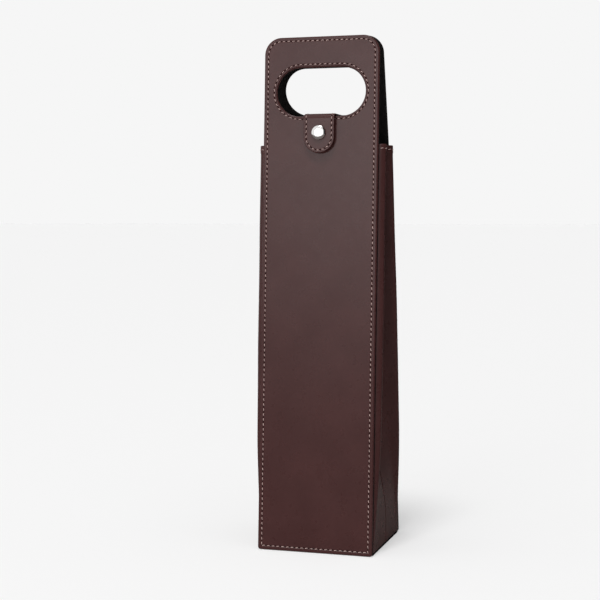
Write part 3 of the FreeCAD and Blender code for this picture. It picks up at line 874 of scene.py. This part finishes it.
def sheet_profile(inner, outer, foot, hemmed):
    """Heights and offsets up the outside of a gusset's sheet, over its top and down the inside."""
    radius = (outer - inner) / 2
    centre = (outer + inner) / 2
    heights = [height for height in sheet_heights(foot) if height < GUSSET_TOP - radius]
    profile = [(height, outer + (hem_rise(height) if hemmed else 0)) for height in heights]
    for step in range(2 * ROUND_STEPS + 1):
        angle = math.pi * step / (2 * ROUND_STEPS)
        rise = HEM_THICKNESS * (1 - step / (2 * ROUND_STEPS)) if hemmed else 0
        height = GUSSET_TOP - radius + radius * math.sin(angle)
        profile.append((height, centre + radius * math.cos(angle) + rise))
    return profile + [(height, inner) for height in heights[::-1]]


def crease_drop(spot):
    """How far the pressed crease sinks a spot near the middle of the sheet."""
    middle = sum(inner_depths(spot.z)) / 2
    near = max(0.0, 1 - abs(spot.y - middle) / CREASE_WIDTH)
    return Vector((CREASE_DROP * near * near, 0, 0))


def gusset_sheet(profile, edge_share, seed):
    """Half of the right gusset as a closed sheet, with its points crowded at the crease."""
    points = []
    faces = []
    columns = GUSSET_COLUMNS // 2
    for height, offset in profile:
        poles = offset_poles(gusset_poles(height, seed), offset)
        for column in range(columns + 1):
            away = (1 - column / columns) ** CREASE_CROWDING
            spot = spline_point(poles, CREASE_SHARE + (edge_share - CREASE_SHARE) * away)
            points.append(spot - crease_drop(spot))
    rows = len(profile)
    width = columns + 1
    for row in range(rows):
        low = row * width
        high = (row + 1) % rows * width
        for column in range(columns):
            faces.append((low + column, low + column + 1, high + column + 1, high + column))
    for column in (0, columns):
        for row in range(rows // 2):
            outside = row * width + column
            inside = (rows - 1 - row) * width + column
            corners = (outside, outside + width, inside - width, inside)
            faces.append(tuple(dict.fromkeys(corners)))
    return points, faces


def hem_stitches(edge_share, seed):
    """The row of stitches under the gusset's top edge."""
    height = GUSSET_TOP - HEM_SEAM_DROP
    poles = offset_poles(gusset_poles(height, seed), GUSSET_THICKNESS / 2 + hem_rise(height))
    columns = GUSSET_COLUMNS * 2
    low, high = sorted((edge_share, CREASE_SHARE))
    shares = [low + (high - low) * step / columns for step in range(columns + 1)]
    points = []
    faces = []
    up = Vector((0, 0, 1))
    for spot, along in walk([spline_point(poles, share) for share in shares], False):
        add_stitch(points, faces, spot, along, up, along.cross(up))
    return points, faces


def blend_with_panel(piece, name):
    """The sheet with its placement baked into its points."""
    place_point = front_point if name == "front" else back_point
    start = place_point(Vector((0, PANEL_THICKNESS, GUSSET_TOP)))
    reach = gusset_half_depth(GUSSET_TOP)
    end = place_point(Vector((0, PANEL_THICKNESS + reach, GUSSET_TOP)))
    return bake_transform(piece)


def make_gussets():
    """Both gussets, each in two halves that meet at the crease."""
    outside = sheet_profile(-GUSSET_THICKNESS / 2, GUSSET_THICKNESS / 2, GUSSET_FOOT, True)
    outer = -GUSSET_THICKNESS / 2 - GUSSET_LAYER_GAP
    inside = sheet_profile(outer - GUSSET_LINING_THICKNESS, outer, BASE_HEIGHT, False)
    for seed, (side_name, side) in enumerate((("left", -1), ("right", 1))):
        for half, edge in GUSSET_EDGE_SHARES.items():
            layers = {
                "gusset": (gusset_sheet(outside, edge, seed), "leather"),
                "gusset_lining": (gusset_sheet(inside, edge, seed), "lining cloth"),
                "gusset_thread": (hem_stitches(edge, seed), "sewing thread"),
            }
            for part, ((points, faces), finish) in layers.items():
                name = f"{side_name}_{part}_{half}_half"
                placed = [Vector((point.x * side, point.y, point.z)) for point in points]
                piece = new_piece(name, placed, faces, finish)
                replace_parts(blend_with_panel(piece, half), f"{side_name}_{part}")


# Strap


def strap_runs():
    """The strap's middle line from its sewn end to its tip: start, heading, length and radius."""
    rise = math.pi / 2 + BACK_LEAN + BACK_BEND
    forward = math.pi
    down = 3 * math.pi / 2 - FRONT_LEAN
    root = back_point(Vector((0, STRAP_ROOT_DEPTH, BEND_END)))
    fold = front_point(Vector((0, STRAP_FOLD_DEPTH, STRAP_FOLD_HEIGHT)))
    leg = (fold.z - root.z) / math.sin(rise)
    corner_y = root.y + leg * math.cos(rise)
    bend_cut = STRAP_BEND_RADIUS * math.tan((forward - rise) / 2)
    fold_cut = STRAP_FOLD_RADIUS * math.tan((down - forward) / 2)
    flap = STRAP_FOLD_HEIGHT - (HANDLE_RIM - STRAP_FLAP_LENGTH + STRAP_RIM_CLEARANCE)
    pieces = [
        (leg - bend_cut, None),
        ((forward - rise) * STRAP_BEND_RADIUS, STRAP_BEND_RADIUS),
        (corner_y - fold.y - bend_cut - fold_cut, None),
        ((down - forward) * STRAP_FOLD_RADIUS, STRAP_FOLD_RADIUS),
        (flap - fold_cut, None),
    ]
    runs = []
    place = Vector((root.y, root.z))
    heading = rise
    for length, radius in pieces:
        runs.append((place, heading, length, radius))
        place, heading = run_end(place, heading, length, radius)
    return runs


def run_end(place, heading, length, radius):
    """The place and heading at a length along a straight or bent run."""
    if radius is None:
        return place + Vector((math.cos(heading), math.sin(heading))) * length, heading
    centre = place + Vector((-math.sin(heading), math.cos(heading))) * radius
    turned = heading + length / radius
    return centre - Vector((-math.sin(turned), math.cos(turned))) * radius, turned


def strap_point(point, runs):
    """From the flat strap, x across, y into it and z along it, to its bent shape."""
    along = point.z
    for place, heading, length, radius in runs:
        if along <= length or (place, heading, length, radius) == runs[-1]:
            break
        along -= length
    spot, turned = run_end(place, heading, along, radius)
    out = STRAP_THICKNESS / 2 - point.y
    spot = spot + Vector((math.sin(turned), -math.cos(turned))) * out
    return Vector((point.x, spot.x, spot.y))


def split_strap(points, faces, middle, unit):
    """Faces behind and in front of the middle of the bridge, with each stitch left whole."""
    rear = []
    fore = []
    for face in faces:
        first = face[0] - face[0] % unit
        corners = range(first, first + unit) if unit > 1 else face
        along = sum(points[corner].z for corner in corners) / len(corners)
        (rear if along < middle else fore).append(face)
    return rear, fore


def blend_strap(piece):
    """The strap piece with its placement baked into its points."""
    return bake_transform(piece)


def strap_layers(length):
    """The layers of the flat strap, each with its finish."""
    half = STRAP_WIDTH / 2
    corners = box_corners(half, 0, length, STRAP_ROOT_CORNER, half)
    half_rows = [(0.0, STRAP_THICKNESS / 2, 0.0)]
    outer_rows = face_rows(STRAP_EDGE_ROUND, STRAP_SEAM_INSET) + half_rows
    inner_rows = half_rows + back_rows(STRAP_EDGE_ROUND, STRAP_THICKNESS)
    face = Edge(corners, STRAP_SPACING, outer_rows, STRAP_SEAM_INSET)
    back = Edge(corners, STRAP_SPACING, inner_rows)
    return {
        "facing": (plate((face,), 0, STRAP_GRID), "leather"),
        "lining": (plate((back,), -1, STRAP_GRID), "lining cloth"),
        "thread": (flat_stitches(face.seam()), "sewing thread"),
        # The needle holes are dark plugs of painted shade
        "holes": (needle_holes(face.seam()), "dark leather and painted shade"),
    }


def make_strap():
    """The strap in two halves that meet in the middle of its bridge."""
    runs = strap_runs()
    lengths = [length for _, _, length, _ in runs]
    middle = sum(lengths[:2]) + lengths[2] / 2
    units = {"thread": STITCH_RINGS * STITCH_SIDES, "holes": 2 * STITCH_SIDES}
    for part, ((points, faces), finish) in strap_layers(sum(lengths)).items():
        bent = [strap_point(point, runs) for point in points]
        ends = split_strap(points, faces, middle, units.get(part, 1))
        for end, kept in zip(("rear", "fore"), ends):
            piece = new_piece(f"strap_{part}_{end}", bent, kept, finish)
            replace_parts(blend_strap(piece), *STRAP_NODES.get((end, part), ()))
    make_root_stitches(lengths[0])


def make_root_stitches(length):
    """The box of stitches that holds the strap's end inside the back panel."""
    half = STRAP_WIDTH / 2 - STRAP_SEAM_INSET
    low = BEND_END + STRAP_SEAM_INSET
    high = BEND_END + length - STRAP_SEAM_INSET
    path = [Vector(corner) for corner in rectangle(-half, half, low, high)]
    points, faces = flat_stitches(path, -PANEL_THICKNESS - STRAP_THICKNESS)
    shaped = [back_point(Vector((point.x, -point.y, point.z))) for point in points]
    piece = new_piece("strap_root_stitches", shaped, faces, "sewing thread")
    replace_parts(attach(piece, "back_panel"), "strap_root_thread")


# Snap


def snap_profile():
    """Radius and depth of the cap from its flat crown over the steep side to the shank."""
    leather = -STRAP_STAND - STRAP_THICKNESS
    rows = []
    for sine, cosine in arc_shares(SNAP_STEPS):
        radius = SNAP_CAP_RADIUS * sine ** (2 / SNAP_CAP_POWER)
        rise = SNAP_CAP_CROWN * max(0, cosine) ** (2 / SNAP_CAP_POWER)
        rows.append((radius, leather - rise))
    rows.append((SNAP_SHANK_RADIUS, leather))
    rows.append((SNAP_SHANK_RADIUS, leather + SNAP_SHANK_LENGTH))
    return rows


def make_snap():
    """The cap, turned round the snap's axis, on the strap."""
    rings = []
    for radius, depth in snap_profile():
        centre = Vector((0, depth, SNAP_HEIGHT))
        rings.append((centre, Vector((radius, 0, 0)), Vector((0, 0, radius))))
    points = []
    faces = []
    add_tube(points, faces, rings, SNAP_SIDES)
    shaped = [front_point(point) for point in points]
    piece = new_piece("snap_button", shaped, faces, "polished metal")
    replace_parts(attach(piece, "strap_flap"), "snap_cap")


# Materials


def tone(*levels):
    """A colour written as it looks on a screen, in the linear values of a shader."""
    shown = Color([level / SCREEN_WHITE for level in levels])
    return (*shown.from_srgb_to_scene_linear(), 1.0)


def feed(tree, socket, value):
    """An input gets a value, or takes what another node gives."""
    if isinstance(value, bpy.types.NodeSocket):
        tree.links.new(value, socket)
    else:
        socket.default_value = value


def add_node(tree, kind, inputs, **settings):
    """A node with its settings and its inputs, by name or by number."""
    made = tree.nodes.new(kind)
    for name, value in settings.items():
        setattr(made, name, value)
    for name, value in inputs.items():
        feed(tree, made.inputs[name], value)
    return made


def add_ramp(tree, value, stops):
    """Colours at shares of a value."""
    made = add_node(tree, "ShaderNodeValToRGB", {"Fac": value})
    elements = made.color_ramp.elements
    while len(elements) < len(stops):
        elements.new(1.0)
    for element, (share, colour) in zip(elements, stops):
        element.position = share
        element.color = colour
    return made.outputs["Color"]


class Finish:
    """A material's nodes, built up round one shader."""

    def __init__(self, name):
        self.material = bpy.data.materials.new(name)
        self.material.use_nodes = True
        self.tree = self.material.node_tree
        self.shader = self.tree.nodes["Principled BSDF"]
        self.place = self.tree.nodes.new("ShaderNodeTexCoord").outputs["Object"]

    def give(self, name, value):
        feed(self.tree, self.shader.inputs[name], value)

    def texture(self, kind, size, place, inputs, **settings):
        """A texture with spots of about a size in millimetres."""
        inputs = {"Vector": place, "Scale": 1 / (size * METRES), **inputs}
        return add_node(self.tree, "ShaderNodeTex" + kind, inputs, **settings)

    def noise(self, size, detail, stretch=(1, 1, 1)):
        """Cloudy values from 0 to 1."""
        mapping = add_node(self.tree, "ShaderNodeMapping", {"Vector": self.place, "Scale": stretch})
        made = self.texture("Noise", size, mapping.outputs["Vector"], {"Detail": detail})
        return made.outputs["Fac"]

    def cells(self, size):
        return self.texture("Voronoi", size, self.place, {}, feature="SMOOTH_F1").outputs["Distance"]

    def threads(self, size, direction):
        return self.texture("Wave", size, self.place, {}, bands_direction=direction).outputs["Fac"]

    def colour(self, value, *stops):
        shown = [(share, tone(*levels)) for share, levels in stops]
        self.give("Base Color", add_ramp(self.tree, value, shown))

    def roughness(self, value, low, high):
        inputs = {"Value": value, "To Min": low, "To Max": high}
        self.give("Roughness", add_node(self.tree, "ShaderNodeMapRange", inputs).outputs["Result"])

    def bumps(self, *layers):
        """Layers of height, each on top of the one before."""
        below = {}
        for value, strength, depth in layers:
            inputs = {"Height": value, "Strength": strength, "Distance": depth * METRES, **below}
            below = {"Normal": add_node(self.tree, "ShaderNodeBump", inputs).outputs["Normal"]}
        self.give("Normal", below["Normal"])


def make_finish(name):
    """A material from the table, with its grains and what they give it."""
    table = FINISHES[name]
    finish = Finish(name)
    kinds = {"noise": finish.noise, "cells": finish.cells, "threads": finish.threads}
    grains = {grain: kinds[kind](*sizes) for grain, (kind, *sizes) in table["grains"].items()}
    grain, *stops = table["colour_shares"]
    finish.colour(grains[grain], *stops)
    grain, *limits = table["roughness"]
    finish.roughness(grains[grain], *limits)
    finish.bumps(*((grains[grain], *bump) for grain, *bump in table["bumps"]))
    for level, value in table.get("levels", {}).items():
        finish.give(level, value)
    return finish.material


def dress_nodes():
    for finish, names in NODE_FINISHES.items():
        for name in names:
            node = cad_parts[name]
            node.data.materials.clear()
            node.data.materials.append(MATERIALS[finish])


# Stage


def seen_rays(tree):
    """Whether a ray sees the pale background as it is: from the camera, a gloss or glass."""
    path = tree.nodes.new("ShaderNodeLightPath")
    seen = path.outputs["Is Camera Ray"]
    for kind in ("Is Glossy Ray", "Is Transmission Ray"):
        rays = {0: seen, 1: path.outputs[kind]}
        seen = add_node(tree, "ShaderNodeMath", rays, operation="MAXIMUM").outputs["Value"]
    return seen


def mix_shaders(tree, share, first, second, output):
    """Two shaders mixed into what a material or the world shows."""
    inputs = {0: share, 1: first.outputs[0], 2: second.outputs[0]}
    mixer = add_node(tree, "ShaderNodeMixShader", inputs)
    feed(tree, tree.nodes[output].inputs["Surface"], mixer.outputs["Shader"])


def stage_sheet(name, corners, finish):
    mesh = bpy.data.meshes.new(name)
    mesh.from_pydata([Vector(corner) * METRES for corner in corners], [], [(0, 1, 2, 3)])
    mesh.materials.append(finish.material)
    return add_object(name, mesh)


def matt_finish(name, colour):
    """Paper of one colour without any shine."""
    finish = Finish(name)
    finish.give("Base Color", tone(*colour))
    finish.give("Roughness", MATT_ROUGHNESS)
    finish.give("Specular IOR Level", 0)
    return finish


def make_floor():
    """A pale floor that shows its light and shadow, mixed with the tone of the background."""
    finish = matt_finish("floor paper", FLOOR_TONE)
    tree = finish.tree
    glow = add_node(tree, "ShaderNodeEmission", {"Color": tone(*BACKGROUND_TONE)})
    part = add_node(tree, "ShaderNodeMath", {0: seen_rays(tree), 1: FLOOR_GLOW}, operation="MULTIPLY")
    mix_shaders(tree, part.outputs["Value"], finish.shader, glow, "Material Output")
    half = FLOOR_SIZE / 2
    corners = [(x, y, 0) for x, y in rectangle(-half, half, -half, half)]
    return stage_sheet("floor", corners, finish)


def make_card(name, corners, colour):
    """A card that keeps the pale room out of the reflections."""
    card = stage_sheet(name, corners, matt_finish(name, colour))
    card.visible_camera = False
    card.visible_diffuse = False
    card.visible_shadow = False
    return card


def make_cards():
    far = CARD_REACH
    below = rectangle(-far, far, -far, far)
    right = rectangle(-far, far, 0, far)
    behind = rectangle(CARD_LEFT, far, 0, far)
    return (
        make_card("floor card", [(x, y, CARD_RISE) for x, y in below], FLOOR_CARD_TONE),
        make_card("right card", [(CARD_RIGHT, y, z) for y, z in right], SIDE_CARD_TONE),
        make_card("back card", [(x, CARD_BACK, z) for x, z in behind], SIDE_CARD_TONE),
    )


def direction_from(turn_deg, rise_deg):
    """The way to a place seen from the carrier, turned from its front and risen from the floor."""
    turn = math.radians(turn_deg)
    rise = math.radians(rise_deg)
    return Vector((
        math.sin(turn) * math.cos(rise),
        -math.cos(turn) * math.cos(rise),
        math.sin(rise),
    ))


def soft_light(tree):
    """The light of the sky, brightest from high up in front."""
    place = tree.nodes.new("ShaderNodeTexCoord").outputs["Generated"]
    brightest = direction_from(WORLD_TURN_DEG, WORLD_RISE_DEG)
    toward = add_node(tree, "ShaderNodeVectorMath", {0: place, 1: brightest}, operation="DOT_PRODUCT")
    stops = [(share, (level, level, level, 1.0)) for share, level in WORLD_LEVEL_SHARES]
    return add_ramp(tree, toward.outputs["Value"], stops)


def make_world():
    """Soft light, and a pale background."""
    world = bpy.data.worlds.new("studio")
    bpy.context.scene.world = world
    world.use_nodes = True
    tree = world.node_tree
    light = tree.nodes["Background"]
    feed(tree, light.inputs["Color"], soft_light(tree))
    backdrop = add_node(tree, "ShaderNodeBackground", {"Color": tone(*BACKGROUND_TONE)})
    mix_shaders(tree, seen_rays(tree), light, backdrop, "World Output")


def stage_object(name, data, place, toward):
    """A lamp or the camera at a place, turned to look in a direction."""
    made = add_object(name, data)
    made.location = place * METRES
    made.rotation_euler = toward.to_track_quat("-Z", "Y").to_euler()
    return made


def make_key_light():
    """A large sun, whose shadow falls behind the carrier."""
    light = bpy.data.lights.new("key", "SUN")
    light.energy = KEY_STRENGTH
    light.angle = math.radians(KEY_ANGLE_DEG)
    return stage_object("key", light, Vector(), -direction_from(KEY_TURN_DEG, KEY_RISE_DEG))


def make_soft_box():
    """A lamp in front of the panel, which the camera doesn't see."""
    light = bpy.data.lights.new("soft box", "AREA")
    light.energy = BOX_POWER
    light.shape = "RECTANGLE"
    light.size = BOX_WIDTH * METRES
    light.size_y = BOX_HEIGHT * METRES
    place = direction_from(BOX_TURN_DEG, 0) * BOX_DISTANCE + Vector((0, 0, BOX_RISE))
    middle = Vector((0, 0, PANEL_LENGTH / 2))
    lamp = stage_object("soft box", light, place, middle - place)
    lamp.visible_camera = False
    return lamp


def make_camera():
    data = bpy.data.cameras.new("camera")
    data.lens = CAMERA_LENS_MM
    data.sensor_width = CAMERA_SENSOR_MM
    view = -direction_from(CAMERA_TURN_DEG, CAMERA_DIP_DEG)
    bpy.context.scene.camera = stage_object("camera", data, Vector(CAMERA_PLACE), view)


def main():
    make_panel("front", PANEL_LENGTH, front_point)
    make_panel("back", BACK_LENGTH, back_point)
    make_base()
    make_gussets()
    make_strap()
    make_snap()
    dress_nodes()
    make_world()
    make_camera()
    make_floor()
    make_cards()
    make_key_light()
    make_soft_box()
    bpy.context.scene.view_settings.view_transform = "Standard"


MATERIALS = {name: make_finish(name) for name in FINISHES}
main()
